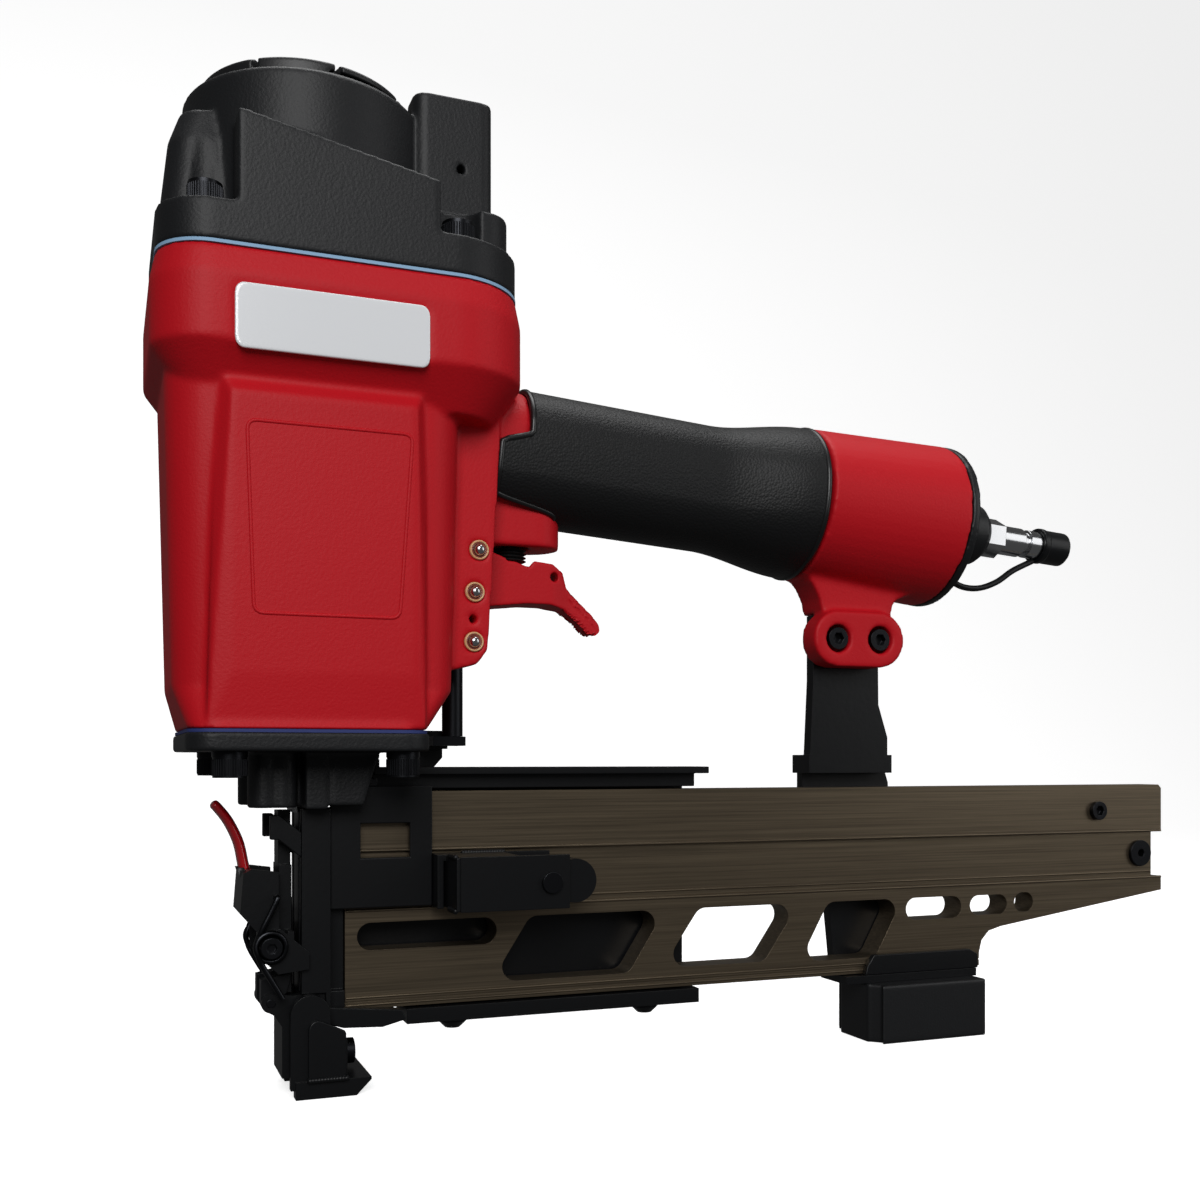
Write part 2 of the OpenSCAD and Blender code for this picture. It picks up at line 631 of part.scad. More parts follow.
module leaning_window(x0, x1, z0, z1, lean, r) {
    hull() {
        translate([x0 + lean + r, z1 - r]) circle(r, $fn = 32);
        translate([x1 + lean - r, z1 - r]) circle(r, $fn = 32);
        translate([x0 + r, z0 + r]) circle(r, $fn = 32);
        translate([x1 - r, z0 + r]) circle(r, $fn = 32);
    }
}

module slot_hole(x0, x1, z0, z1) {
    r = (z1 - z0) / 2;
    translate([x0 + r, z0 + r]) circle(r);
    translate([x1 - r, z0 + r]) circle(r);
    translate([x0 + r, z0]) square([x1 - x0 - 2 * r, z1 - z0]);
}

// Anodised extrusion that slides out to the rear for loading
module magazine_rail() color([0.62, 0.57, 0.47]) difference() {
    xz_plate(-rail_t / 2, rail_t / 2) difference() {
        polygon([[rail_x, rail_z], [272.7, rail_z], [272.7, 31], [274, 36], [277.5, 39.6],
                 [283.6, 41.2], [rail_end, 53], [rail_end, rail_top - 1.5],
                 [rail_end - 1.5, rail_top], [rail_x, rail_top]]);
        leaning_window(71, 121, 32, 54.4, 8, 5);
        leaning_window(136.5, 176.5, 33, 54.4, 8, 5);
        leaning_window(193, 225.5, 32, 54.4, 7, 5);
        slot_hole(20.5, 69, 45.4, 54.6);
        slot_hole(237.6, 264, 45.6, 54.4);
        slot_hole(268.3, 286.6, 46.2, 54.2);
        slot_hole(290.2, 299.8, 46.6, 54.6);
        translate([364, groove_z0]) square([10, groove_z1 - groove_z0]);
    }
    // shallow band on the near side, T-groove on the far side
    block([rail_x - 1, -rail_t / 2 - 1, groove_z0], [rail_end + 1, -rail_t / 2 + 1.2, groove_z1]);
    block([rail_x - 1, rail_t / 2 - 2, groove_z0], [rail_end + 1, rail_t / 2 + 1, groove_z1]);
    block([rail_x - 1, rail_t / 2 - 4, groove_z0 - 1.5], [350, rail_t / 2 - 2, groove_z1 + 1.5]);
    // fine line along the lower edge
    block([rail_x - 1, -rail_t / 2 - 1, rail_z + 2.2], [274, -rail_t / 2 + 0.4, rail_z + 2.8]);
    y_bar(357.1, 69.1, 3.1, -10, 10);
    y_bar(333.1, 87.7, 2.05, -10, 4);
}

module rail_bush() color("gray") difference() {
    union() {
        y_bar(357.1, 69.1, 3.08, -rail_t / 2 + 1.2, rail_t / 2 - 4);
        y_bar(357.1, 69.1, 5.6, -rail_t / 2 - 0.4, -rail_t / 2 + 1.2);
    }
    y_bar(357.1, 69.1, 1.6, -10, 10);
}

module rail_screw() color("dimgray") {
    translate([333.1, -rail_t / 2, 87.7]) rotate([90, 0, 0]) cap_screw(3.9, 2.2);
    y_bar(333.1, 87.7, 2, -rail_t / 2, 3);
}

// Black cheek over the front of the rail
module front_guide() color([0.12, 0.12, 0.12]) difference() {
    block([11.1, -9.6, 60], [45.2, -7.2, 100.4]);
    block([21, -12, 76.6], [37.5, -5, 88]);
}

// Far side of the fixed magazine, with an upper and a lower guide rail
module guide_channel() color([0.12, 0.12, 0.12]) {
    xz_plate(7.2, 9.6) polygon([[11.2, 29], [37, 27], [37, 20], [146, 20], [146, 104.6],
                                [18.4, 104.6], [18.4, 93], [11.2, 93]]);
    block([26, -3.4, 99.4], [146, 7.3, 104.4]);
    block([26, -7.6, 104.2], [150, 9.6, 106.7]);
    block([11.2, -9.5, 100.4], [26.5, 9.5, 103]);
    block([37, -7.4, 20], [146, 7.3, 25.2]);
}

module channel_screws() color("dimgray") for (x = [54.6, 127.1]) translate([x, 0, 20])
    mirror([0, 0, 1]) difference() {
        union() {
            cylinder(r = 4.9, h = 1.2);
            translate([0, 0, 1.2 - e]) cylinder(r1 = 4.9, r2 = 2.6, h = 2.2);
        }
        translate([0, 0, 2]) cylinder(r = 1.7, h = 4, $fn = 6);
    }

// Folded steel box that is welded to the front guide and holds the catch lever
module catch_bracket() color([0.12, 0.12, 0.12]) difference() {
    block([45.3, -30, 59.5], [87.2, -7.2, 77.5]);
    block([47.5, -28, 55], [95, -9.2, 75.3]);
    block([70, -28, 55], [95, -9.2, 80]);
    block([40, -31, 58], [49.6, -16, 80]);
    y_bar(catch_pin_x, catch_pin_z, 2.04, -40, 0);
}

module catch_lever() color([0.12, 0.12, 0.12]) difference() {
    xz_plate(-26.6, -10.6) union() {
        translate([90.6, catch_pin_z]) circle(7.4);
        polygon([[74, catch_pin_z - 6], [90.6, catch_pin_z - 7.4], [90.6, catch_pin_z + 7.4],
                 [74, catch_pin_z + 5.6]]);
        polygon([[53, 62.4], [75, 62.3], [75, 70], [53, 68]]);
    }
    y_bar(catch_pin_x, catch_pin_z, 2.06, -40, 0);
    block([50, -27, 50], [73.4, -20, 80]);
}

module catch_pin() color([0.2, 0.2, 0.2]) {
    y_bar(catch_pin_x, catch_pin_z, 2, -30.1, -7.3);
    y_bar(catch_pin_x, catch_pin_z, 3.6, -31.4, -30);
}

// Runs in the rail's far groove and pushes the staples to the nose
module staple_pusher() color("gray") {
    block([20, 1.9, groove_z0 - 1.2], [44, 3.2, groove_z1 + 1.2]);
    block([20, 3.1, groove_z0 + 0.4], [44, 5.3, groove_z1 - 0.4]);
}

// Flat bar from the clamp ear, set over to the far side of the magazine
module rear_bracket() color([0.12, 0.12, 0.12]) difference() {
    union() {
        xz_plate(-2.5, 2.5) polygon([[195.8, 111], [197.2, 140], [197.2, 165], [226.4, 165],
                                     [226.8, 131], [231, 118], [231, 111]]);
        block([195.4, -2.5, 104], [233, 10.4, 111.1]);
        xz_plate(6, 10.4) polygon([[197.4, 110], [233.6, 110], [237, 100], [237, 60], [246, 25.2],
                                   [212, 25.2], [208.3, 60], [197.4, 96]]);
        block([208.3, -8.6, foot_h], [foot_x + foot_l + 1, 10.4, 25.5]);
    }
    for (x = clamp_x) y_bar(x, clamp_z, 2.6, -14, 14);
}

module clamp_screws() color("dimgray") for (x = clamp_x) {
    translate([x, -7.5, clamp_z]) rotate([90, 0, 0]) cap_screw(4.25, 5);
    y_bar(x, clamp_z, 2.5, -7.6, 8.6);
    // nut behind the bracket
    translate([x, 2.6, clamp_z]) rotate([-90, 0, 0]) cylinder(r = 4.6, h = 4, $fn = 6);
}

// Lipped clip that the rail's lower edge runs in
module foot_clip() color([0.14, 0.14, 0.14]) union() {
    xz_plate(-8.4, -5.9) polygon([[foot_x, 25.5], [foot_x + 1, 29], [foot_x + 4, 33.2],
                                  [foot_x + foot_l - 2, 33.2], [foot_x + foot_l + 2, 31],
                                  [foot_x + foot_l + 2, 25.5]]);
}

module foot_block() color([0.13, 0.13, 0.13]) difference() {
    block([foot_x, -16, 0], [foot_x + foot_l, 16, foot_h]);
    for (s = [0, 1]) mirror([0, s, 0]) {
        translate([foot_x + 2.4, -16, -1]) rotate([0, 0, 135]) translate([0, -3, 0])
            cube([6, 6, 40]);
    }
}

body_casting();
base_gasket();
nose_casting();
base_screws();
head_gasket();
head_cap();
cap_screws();
exhaust_deflector();
deflector_screw();
label_plates();
cylinder_sleeve();
sleeve_seals();
bumper();
piston();
piston_ring();
driver_blade();
head_valve();
head_valve_spring();
grip_sleeve();
end_cap();
plug_bush();
air_plug();
dust_cap();
dust_cap_tether();
trigger();
trigger_pins();
pin_grommets();
valve_body();
valve_stem();
valve_boot();
contact_foot();
contact_screw();
contact_link();
safety_rod();
safety_spring();
nose_plates();
nose_tip();
rail_tip();
hook_arms();
nose_door();
door_pin();
latch_lever();
latch_handle();
latch_wire();
latch_bolt();
magazine_rail();
rail_bush();
rail_screw();
front_guide();
guide_channel();
channel_screws();
catch_bracket();
catch_lever();
catch_pin();
staple_pusher();
rear_bracket();
clamp_screws();
foot_clip();
foot_block();
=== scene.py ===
import math

import bmesh
import bpy
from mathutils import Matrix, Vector


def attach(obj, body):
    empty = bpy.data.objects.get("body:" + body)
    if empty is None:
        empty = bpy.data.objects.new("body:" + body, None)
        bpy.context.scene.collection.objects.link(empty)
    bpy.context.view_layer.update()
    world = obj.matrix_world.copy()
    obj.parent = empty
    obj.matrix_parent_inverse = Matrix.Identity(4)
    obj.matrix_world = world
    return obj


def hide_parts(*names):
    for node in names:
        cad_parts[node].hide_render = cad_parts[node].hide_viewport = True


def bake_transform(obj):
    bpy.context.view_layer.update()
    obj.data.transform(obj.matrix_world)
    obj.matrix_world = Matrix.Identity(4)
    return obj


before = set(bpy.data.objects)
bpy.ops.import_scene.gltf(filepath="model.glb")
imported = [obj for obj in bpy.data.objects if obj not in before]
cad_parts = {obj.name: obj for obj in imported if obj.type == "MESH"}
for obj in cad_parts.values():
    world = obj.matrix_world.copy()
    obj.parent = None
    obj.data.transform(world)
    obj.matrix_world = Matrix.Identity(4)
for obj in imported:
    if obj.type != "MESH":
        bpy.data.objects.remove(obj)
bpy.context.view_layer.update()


# Body casting: one magnesium pressure casting that holds the cylinder, the handle core, the
# trigger ears and the bracket ear. It is blasted and powder coated red, so every edge is soft
# and the skin has a fine, even pebble.
def colour(code):
    parts = [int(code[i : i + 2], 16) / 255 for i in (1, 3, 5)]
    return [p / 12.92 if p <= 0.04045 else ((p + 0.055) / 1.055) ** 2.4 for p in parts] + [1]


def add(tree, kind, settings=None, inputs=None):
    new = tree.nodes.new(kind)
    for key, value in (settings or {}).items():
        setattr(new, key, value)
    for key, value in (inputs or {}).items():
        if isinstance(value, bpy.types.NodeSocket):
            tree.links.new(value, new.inputs[key])
        else:
            new.inputs[key].default_value = value
    return new


def coated(name, code, roughness, grain, depth, more=None):
    """A plain finish with an even grain: grain and depth in metres."""
    made = bpy.data.materials.new(name)
    made.use_nodes = True
    tree = made.node_tree
    tree.nodes.clear()
    place = add(tree, "ShaderNodeTexCoord")
    pebble = add(tree, "ShaderNodeTexNoise", None,
                 {"Vector": place.outputs["Object"], "Scale": 1 / grain, "Detail": 2})
    bump = add(tree, "ShaderNodeBump", None,
               {"Strength": 1, "Distance": depth, "Height": pebble.outputs["Fac"]})
    skin = {"Base Color": colour(code), "Roughness": roughness, "Normal": bump.outputs["Normal"]}
    skin.update(more or {})
    surface = add(tree, "ShaderNodeBsdfPrincipled", None, skin)
    add(tree, "ShaderNodeOutputMaterial", None, {"Surface": surface.outputs["BSDF"]})
    return made


def put(name, mesh, material, slot, body, *nodes):
    """Places a finished mesh, gives it its material, hangs it on its body if one is given and
    hides the CAD nodes it replaces.
    """
    obj = bpy.data.objects.new(name, mesh)
    bpy.context.scene.collection.objects.link(obj)
    mesh.materials.clear()
    mesh.materials.append(material)
    if body:
        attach(obj, body)
    if nodes:
        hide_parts(*nodes)
    return obj


def shaped(mesh, modifiers):
    """The mesh after a list of (kind, settings) modifiers."""
    obj = bpy.data.objects.new("work", mesh)
    bpy.context.scene.collection.objects.link(obj)
    for kind, settings in modifiers:
        step = obj.modifiers.new(kind, kind)
        for key, value in settings.items():
            setattr(step, key, value)
    graph = bpy.context.evaluated_depsgraph_get()
    result = bpy.data.meshes.new_from_object(obj.evaluated_get(graph))
    bpy.data.objects.remove(obj)
    return result


def welded_copy(node):
    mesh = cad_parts[node].data.copy()
    work = bmesh.new()
    work.from_mesh(mesh)
    bmesh.ops.remove_doubles(work, verts=work.verts, dist=2e-6)
    work.to_mesh(mesh)
    work.free()
    return mesh


def cast(node, voxel, keep, rounds=6):
    """A copy of a CAD node with its edges rounded, as a casting or moulding has them."""
    mesh = shaped(welded_copy(node), [
        ("REMESH", {"mode": "VOXEL", "voxel_size": voxel, "use_smooth_shade": True}),
        ("SMOOTH", {"factor": 0.5, "iterations": rounds}),
        ("DECIMATE", {"ratio": keep})])
    for face in mesh.polygons:
        face.use_smooth = True
    return mesh


red_coat = coated("powder_coat_red", "#bd0f1c", 0.52, 0.0009, 0.00009,
                  {"Specular IOR Level": 0.22})
put("body_casting_soft", cast("body_casting", 0.0009, 0.26), red_coat, "red_paint",
    "frame_body", "body_casting")


# Trigger: a separate casting on the middle cross pin, coated like the body.
# It is thin, so its corners are rounder than the body's for its size, and its tail
# is narrower and thinner than its cheeks.
def ease(t):
    """0 before 0, 1 after 1, and a smooth climb between."""
    t = min(1, max(0, t))
    return t * t * (3 - 2 * t)


tail_from, tail_length = 0.088, 0.011
trigger = cast("trigger", 0.00035, 0.5, 22)
for vertex in trigger.vertices:
    slim = ease((vertex.co.x - tail_from) / tail_length)
    vertex.co.y *= 1 - 0.42 * slim
    vertex.co -= vertex.normal * 0.00045 * slim
put("trigger_soft", trigger, red_coat, "red_paint", "trigger_body", "trigger")


# Raised line round each flat side of the barrel, cast with the body.
# It is a low bead, about 1 mm wide, under the same red coat.
def tube(points, radius, closed=False, sides=3):
    """A round bar along points, as a mesh."""
    curve = bpy.data.curves.new("path", "CURVE")
    curve.dimensions = "3D"
    curve.bevel_depth = radius
    curve.bevel_resolution = sides
    curve.use_fill_caps = True
    line = curve.splines.new("POLY")
    line.points.add(len(points) - 1)
    for point, at in zip(line.points, points):
        point.co = (*at, 1)
    line.use_cyclic_u = closed
    obj = bpy.data.objects.new("path", curve)
    bpy.context.scene.collection.objects.link(obj)
    graph = bpy.context.evaluated_depsgraph_get()
    mesh = bpy.data.meshes.new_from_object(obj.evaluated_get(graph))
    bpy.data.objects.remove(obj)
    for face in mesh.polygons:
        face.use_smooth = True
    return mesh


def smooth_path(points, steps=8, closed=False):
    """Points along a Catmull-Rom curve through the given ones."""
    pts = [Vector(p) for p in points]
    if closed:
        pts = [pts[-1]] + pts + pts[:2]
    else:
        pts = [2 * pts[0] - pts[1]] + pts + [2 * pts[-1] - pts[-2]]
    out = []
    for a, b, c, d in zip(pts, pts[1:], pts[2:], pts[3:]):
        for i in range(steps):
            t = i / steps
            out.append(0.5 * (2 * b + (c - a) * t + (2 * a - 5 * b + 4 * c - d) * t * t
                              + (3 * b - a - 3 * c + d) * t ** 3))
    return out if closed else out + [pts[-2]]


def rounded_loop(corners, radius, y):
    out = []
    n = len(corners)
    for i in range(n):
        here = Vector(corners[i])
        for t in (0, 0.25, 0.5, 0.75, 1):
            before = here + (Vector(corners[i - 1]) - here).normalized() * radius
            after = here + (Vector(corners[(i + 1) % n]) - here).normalized() * radius
            p = before * (1 - t) ** 2 + here * 2 * t * (1 - t) + after * t * t
            out.append((p.x, y, p.y))
    return out


for side, y in (("near", -0.0398), ("far", 0.0398)):
    corners = [(-0.0186, 0.2104), (0.0315, 0.2104), (0.0274, 0.153), (-0.0166, 0.153)]
    put("panel_line_" + side, tube(rounded_loop(corners, 0.003, y), 0.0006, True), red_coat,
        "red_paint", "frame_body")

# Label: a domed, printed vinyl plate on each side of the head, left blank here.
# It is white, glossy and slightly raised over its seat.
label_skin = coated("label_vinyl_white", "#e9ebee", 0.16, 0.004, 0.00001,
                    {"Coat Weight": 0.6, "Coat Roughness": 0.06})
put("labels_soft", cast("label_plates", 0.0003, 0.5, 24), label_skin, "white_plastic",
    "frame_body", "label_plates")


# Gaskets: pressed fibre sheet under the cap and over the nose casting.
# They show as thin blue lines; the upper one is a lighter blue.
def refinished(material, *nodes):
    """Gives CAD nodes that are shown as they are their finish."""
    for node in nodes:
        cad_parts[node].data.materials.clear()
        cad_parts[node].data.materials.append(material)


for node, name, code in (("base_gasket", "fibre_gasket_navy", "#25336e"),
                         ("head_gasket", "fibre_gasket_light", "#8db2d2")):
    refinished(coated(name, code, 0.7, 0.0006, 0.00004), node)

# Head cap and nose casting: die castings in textured black powder coat.
# The coat is coarser than on the body and catches the light as a grey bloom on edges.
black_coat = coated("powder_coat_black", "#17181a", 0.48, 0.0009, 0.00011,
                    {"Specular IOR Level": 0.3})
put("head_cap_soft", cast("head_cap", 0.0008, 0.4), black_coat, "black_paint", "frame_body",
    "head_cap")
put("nose_casting_soft", cast("nose_casting", 0.0006, 0.4), black_coat, "black_paint",
    "frame_body", "nose_casting")

# Exhaust deflector: a moulded nylon disc that turns on the cap by hand.
# It is a plain satin black, a little lighter than the cap.
nylon = coated("glass_filled_nylon_black", "#131416", 0.42, 0.0007, 0.00004,
               {"Specular IOR Level": 0.4})
put("deflector_soft", cast("exhaust_deflector", 0.0005, 0.5), nylon, "black_paint",
    "deflector", "exhaust_deflector")


# Rear foot, end cap, swivel bush and dust cap: moulded nylon and soft plastic.
# The end cap is pressed into the housing and held by a ring, the foot is screwed on.
put("foot_block_soft", cast("foot_block", 0.0006, 0.4, 5), nylon, "black_plastic",
    "frame_body", "foot_block")
put("end_cap_soft", cast("end_cap", 0.0006, 0.4), nylon, "black_plastic", "frame_body",
    "end_cap")
put("plug_bush_soft", cast("plug_bush", 0.0004, 0.4, 8), nylon, "black_plastic",
    "frame_body", "plug_bush")
soft_plastic = coated("polyethylene_black", "#101113", 0.36, 0.002, 0.00002,
                      {"Specular IOR Level": 0.28})
put("dust_cap_soft", cast("dust_cap", 0.0003, 0.4), soft_plastic, "black_plastic",
    "cap_body", "dust_cap")

# Tether: the dust cap's moulded strap, looped under the plug to the end cap.
# It is soft plastic like the cap, and stretches when the cap is pulled off.
loop = smooth_path([(0.2572, 0, 0.1888), (0.2592, 0, 0.1852), (0.2632, 0, 0.182),
                    (0.2695, 0, 0.1797), (0.2775, 0, 0.1798), (0.286, 0, 0.1828),
                    (0.294, 0, 0.1878), (0.3037, 0, 0.1922)], 10)
tether = put("tether_strap", tube(loop, 0.00125), soft_plastic, "black_plastic", None,
             "dust_cap_tether")
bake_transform(tether)

# Grip: a moulded rubber sleeve over the handle core, with a pebbled grain of 0.9 mm.
# A tongue on each side reaches forward over the handle root, and plain raised bands
# edge it at both ends, where the mould parts.
grip_rubber = bpy.data.materials.new("grip_rubber_black")
grip_rubber.use_nodes = True
tree = grip_rubber.node_tree
tree.nodes.clear()
place = add(tree, "ShaderNodeTexCoord")
cells = add(tree, "ShaderNodeTexVoronoi", {"feature": "F1"},
            {"Vector": place.outputs["Object"], "Scale": 1150})
bump = add(tree, "ShaderNodeBump", {"invert": True},
           {"Strength": 0.9, "Distance": 0.00013, "Height": cells.outputs["Distance"]})
skin = add(tree, "ShaderNodeBsdfPrincipled", None,
           {"Base Color": colour("#0f1011"), "Roughness": 0.5, "Specular IOR Level": 0.3,
            "Normal": bump.outputs["Normal"]})
add(tree, "ShaderNodeOutputMaterial", None, {"Surface": skin.outputs["BSDF"]})

tilt = math.radians(4.3)
axis_x, axis_z = 0.085, 0.2154


def along_handle(s, down, y):
    """A point s along the handle's axis from X 85 mm, with down and y across it."""
    return Vector((axis_x + s * math.cos(tilt) - down * math.sin(tilt), y,
                   axis_z - s * math.sin(tilt) - down * math.cos(tilt)))


def grip_point(s, a, lift=0.0):
    """A point of the grip's skin, s along the handle and at the angle a from its underside."""
    flare = ease((s - 0.064) / 0.04)
    radius = 0.019 + 0.0084 * flare + lift
    half = (0.0044 - 0.0031 * flare) * max(-1, min(1, 4 * math.cos(a)))
    return along_handle(s, radius * math.cos(a) + half, radius * math.sin(a))


def grip_front(a):
    """Where the sleeve starts: it has a tongue forward on each side and is cut back below."""
    down = 0.019 * math.cos(a) + 0.0044 * max(-1, min(1, 4 * math.cos(a)))
    tongue = ease((down + 0.0048) / 0.005)
    lower = ease((down - 0.0165) / 0.0048)
    return -0.008 - 0.0107 * tongue + 0.0232 * lower


grip_rear = 0.1057
turns, rows = 180, 72
angles = [2 * math.pi * i / turns for i in range(turns)]
verts, faces = [], []
for j in range(rows + 1):
    for a in angles:
        start = grip_front(a)
        verts.append(grip_point(start + (grip_rear - start) * j / rows, a))
for j in range(rows):
    for i in range(turns):
        k = (i + 1) % turns
        faces.append((j * turns + i, (j + 1) * turns + i, (j + 1) * turns + k, j * turns + k))
sleeve = bpy.data.meshes.new("sleeve")
sleeve.from_pydata(verts, [], faces)
work = bmesh.new()
work.from_mesh(sleeve)
bmesh.ops.recalc_face_normals(work, faces=work.faces)
top = max(work.faces, key=lambda f: f.calc_center_median().z)
if top.normal.z < 0:
    bmesh.ops.reverse_faces(work, faces=work.faces)
work.to_mesh(sleeve)
work.free()
for face in sleeve.polygons:
    face.use_smooth = True
sleeve = shaped(sleeve, [
    ("SOLIDIFY", {"thickness": 0.0012, "offset": -1}),
    ("BEVEL", {"width": 0.00035, "segments": 2, "limit_method": "ANGLE",
               "angle_limit": math.radians(55)})])
put("grip_soft", sleeve, grip_rubber, "black_rubber", "frame_body", "grip_sleeve")

band_rubber = coated("grip_band_rubber", "#0e0f10", 0.34, 0.002, 0.00002)
for name, line in (
        ("front", [grip_point(grip_front(a) + 0.0008, a, -0.0006) for a in angles]),
        ("rear", [grip_point(grip_rear - 0.0012, a, -0.0006) for a in angles])):
    put("grip_band_" + name, tube(line, 0.0012, True), band_rubber, "black_rubber",
        "frame_body")


# Magazine rail: drawn aluminium, brushed lengthwise and anodised a dark bronze.
# The staples' crowns leave long fine scratches, mostly in the band they rub; here the lines run
# over the whole rail alike.
def edged(node, width, segments=2):
    """A copy of a CAD node with small bevels on its sharp edges."""
    mesh = welded_copy(node)
    work = bmesh.new()
    work.from_mesh(mesh)
    bmesh.ops.dissolve_limit(work, angle_limit=0.02, verts=work.verts, edges=work.edges)
    work.to_mesh(mesh)
    work.free()
    for face in mesh.polygons:
        face.use_smooth = True
    mesh = shaped(mesh, [
        ("BEVEL", {"width": width, "segments": segments, "limit_method": "ANGLE",
                   "angle_limit": math.radians(32), "harden_normals": False}),
        ("WEIGHTED_NORMAL", {"keep_sharp": True})])
    return mesh


anodised = bpy.data.materials.new("anodised_aluminium_bronze")
anodised.use_nodes = True
tree = anodised.node_tree
tree.nodes.clear()
place = add(tree, "ShaderNodeTexCoord")
drawn = add(tree, "ShaderNodeMapping", None,
            {"Vector": place.outputs["Object"], "Scale": (12, 400, 1500)})
lines = add(tree, "ShaderNodeTexNoise", None,
            {"Vector": drawn.outputs["Vector"], "Scale": 1, "Detail": 4, "Roughness": 0.7})
tone = add(tree, "ShaderNodeValToRGB", None, {"Fac": lines.outputs["Fac"]})
tone.color_ramp.elements[0].position = 0.3
tone.color_ramp.elements[0].color = colour("#5c5244")
tone.color_ramp.elements[1].position = 0.7
tone.color_ramp.elements[1].color = colour("#7a6d5a")
wear = add(tree, "ShaderNodeMapRange", None,
           {"Value": lines.outputs["Fac"], "To Min": 0.28, "To Max": 0.46})
bump = add(tree, "ShaderNodeBump", None,
           {"Strength": 0.5, "Distance": 0.00002, "Height": lines.outputs["Fac"]})
skin = add(tree, "ShaderNodeBsdfPrincipled", None,
           {"Base Color": tone.outputs["Color"], "Metallic": 0.85,
            "Roughness": wear.outputs["Result"], "Normal": bump.outputs["Normal"]})
add(tree, "ShaderNodeOutputMaterial", None, {"Surface": skin.outputs["BSDF"]})
put("magazine_rail_edged", edged("magazine_rail", 0.0003), anodised, "anodised", "magazine",
    "magazine_rail")

# Drawn ridges along the rail's near side, part of the extrusion.
# Two thin ribs border the shallow band and three run along the lower edge.
for i, (z, x1, r) in enumerate(((0.0787, 0.3682, 0.0005), (0.0587, 0.3682, 0.0005),
                                (0.0612, 0.3636, 0.0004), (0.0272, 0.2722, 0.0004),
                                (0.0297, 0.2722, 0.0004))):
    y = -0.0043 if z == 0.0612 else -0.0055
    put("rail_rib_%d" % i, tube([(0.0168, y, z), (x1, y, z)], r), anodised, "anodised",
        "magazine")

# Steel weldments of the nose, magazine guides and rear bracket: cut and bent sheet,
# welded, then painted satin black in one coat over the mill surface.
black_steel = coated("painted_steel_black", "#0c0d0f", 0.36, 0.0016, 0.00003,
                     {"Specular IOR Level": 0.28})
weldments = {
    "frame_body": ["nose_plates", "nose_tip", "rail_tip", "hook_arms", "front_guide",
                   "guide_channel", "catch_bracket", "rear_bracket", "foot_clip"],
    "contact": ["contact_foot", "contact_link"],
    "door": ["nose_door"],
    "catch": ["catch_lever"]}
for body, nodes in weldments.items():
    for node in nodes:
        put(node + "_edged", edged(node, 0.0004), black_steel, "black_paint", body, node)


# Foot tabs and catch box end: small plates welded on last, one on each cheek of the
# contact foot and one that closes the box of the magazine catch.
def plate(outline, y0, y1):
    """A flat plate with the outline (x, z) between two values of y, its edges eased."""
    work = bmesh.new()
    near = [work.verts.new((x, y0, z)) for x, z in outline]
    far = [work.verts.new((x, y1, z)) for x, z in outline]
    work.faces.new(near)
    work.faces.new(list(reversed(far)))
    for k in range(len(outline)):
        n = (k + 1) % len(outline)
        work.faces.new((near[k], far[k], far[n], near[n]))
    bmesh.ops.recalc_face_normals(work, faces=work.faces)
    mesh = bpy.data.meshes.new("plate")
    work.to_mesh(mesh)
    work.free()
    for face in mesh.polygons:
        face.use_smooth = True
    return shaped(mesh, [
        ("BEVEL", {"width": 0.0004, "segments": 2, "limit_method": "ANGLE",
                   "angle_limit": math.radians(40)}),
        ("WEIGHTED_NORMAL", {"keep_sharp": True})])


tab = [(0.0029, 0.0056), (0.0029, 0.0222), (0.0034, 0.0238), (0.0044, 0.0249), (0.0058, 0.0253),
       (0.0078, 0.0247), (0.0118, 0.0228), (0.0146, 0.0214), (0.015, 0.0206), (0.015, 0.0056)]
for name, y0, y1 in (("near", -0.0167, -0.0152), ("far", 0.0152, 0.0155)):
    put("foot_tab_" + name, plate(tab, y0, y1), black_steel, "black_paint", "contact")
put("catch_box_end", plate([(0.0482, 0.0597), (0.0482, 0.0773), (0.0498, 0.0773),
                            (0.0498, 0.0597)], -0.0298, -0.0094), black_steel,
    "black_paint", "frame_body")


# Weld beads: fused steel ripples where the sheets of the foot, guides and catch box meet.
# They are under the same black paint, so they show only by their shine.
def ripples(name):
    """Overlapping ripples along a straight seam, as a node group with named inputs."""
    tree = bpy.data.node_groups.new(name, "GeometryNodeTree")
    for label, kind in (("Geometry", "NodeSocketGeometry"), ("Ripple", "NodeSocketFloat"),
                        ("Pitch", "NodeSocketFloat"), ("Material", "NodeSocketMaterial")):
        tree.interface.new_socket(label, in_out="INPUT", socket_type=kind)
    tree.interface.new_socket("Geometry", in_out="OUTPUT", socket_type="NodeSocketGeometry")
    given = add(tree, "NodeGroupInput")
    seam = add(tree, "GeometryNodeMeshToCurve", None, {"Mesh": given.outputs["Geometry"]})
    marks = add(tree, "GeometryNodeResampleCurve", {"mode": "LENGTH"},
                {"Curve": seam.outputs["Curve"], "Length": given.outputs["Pitch"]})
    drop = add(tree, "GeometryNodeMeshIcoSphere", None,
               {"Radius": given.outputs["Ripple"], "Subdivisions": 2})
    smooth = add(tree, "GeometryNodeSetShadeSmooth", None,
                 {"Geometry": drop.outputs["Mesh"]})
    row = add(tree, "GeometryNodeInstanceOnPoints", None,
              {"Points": marks.outputs["Curve"], "Instance": smooth.outputs["Geometry"]})
    real = add(tree, "GeometryNodeRealizeInstances", None,
               {"Geometry": row.outputs["Instances"]})
    done = add(tree, "GeometryNodeSetMaterial", None,
               {"Geometry": real.outputs["Geometry"], "Material": given.outputs["Material"]})
    add(tree, "NodeGroupOutput", None, {"Geometry": done.outputs["Geometry"]})
    return tree


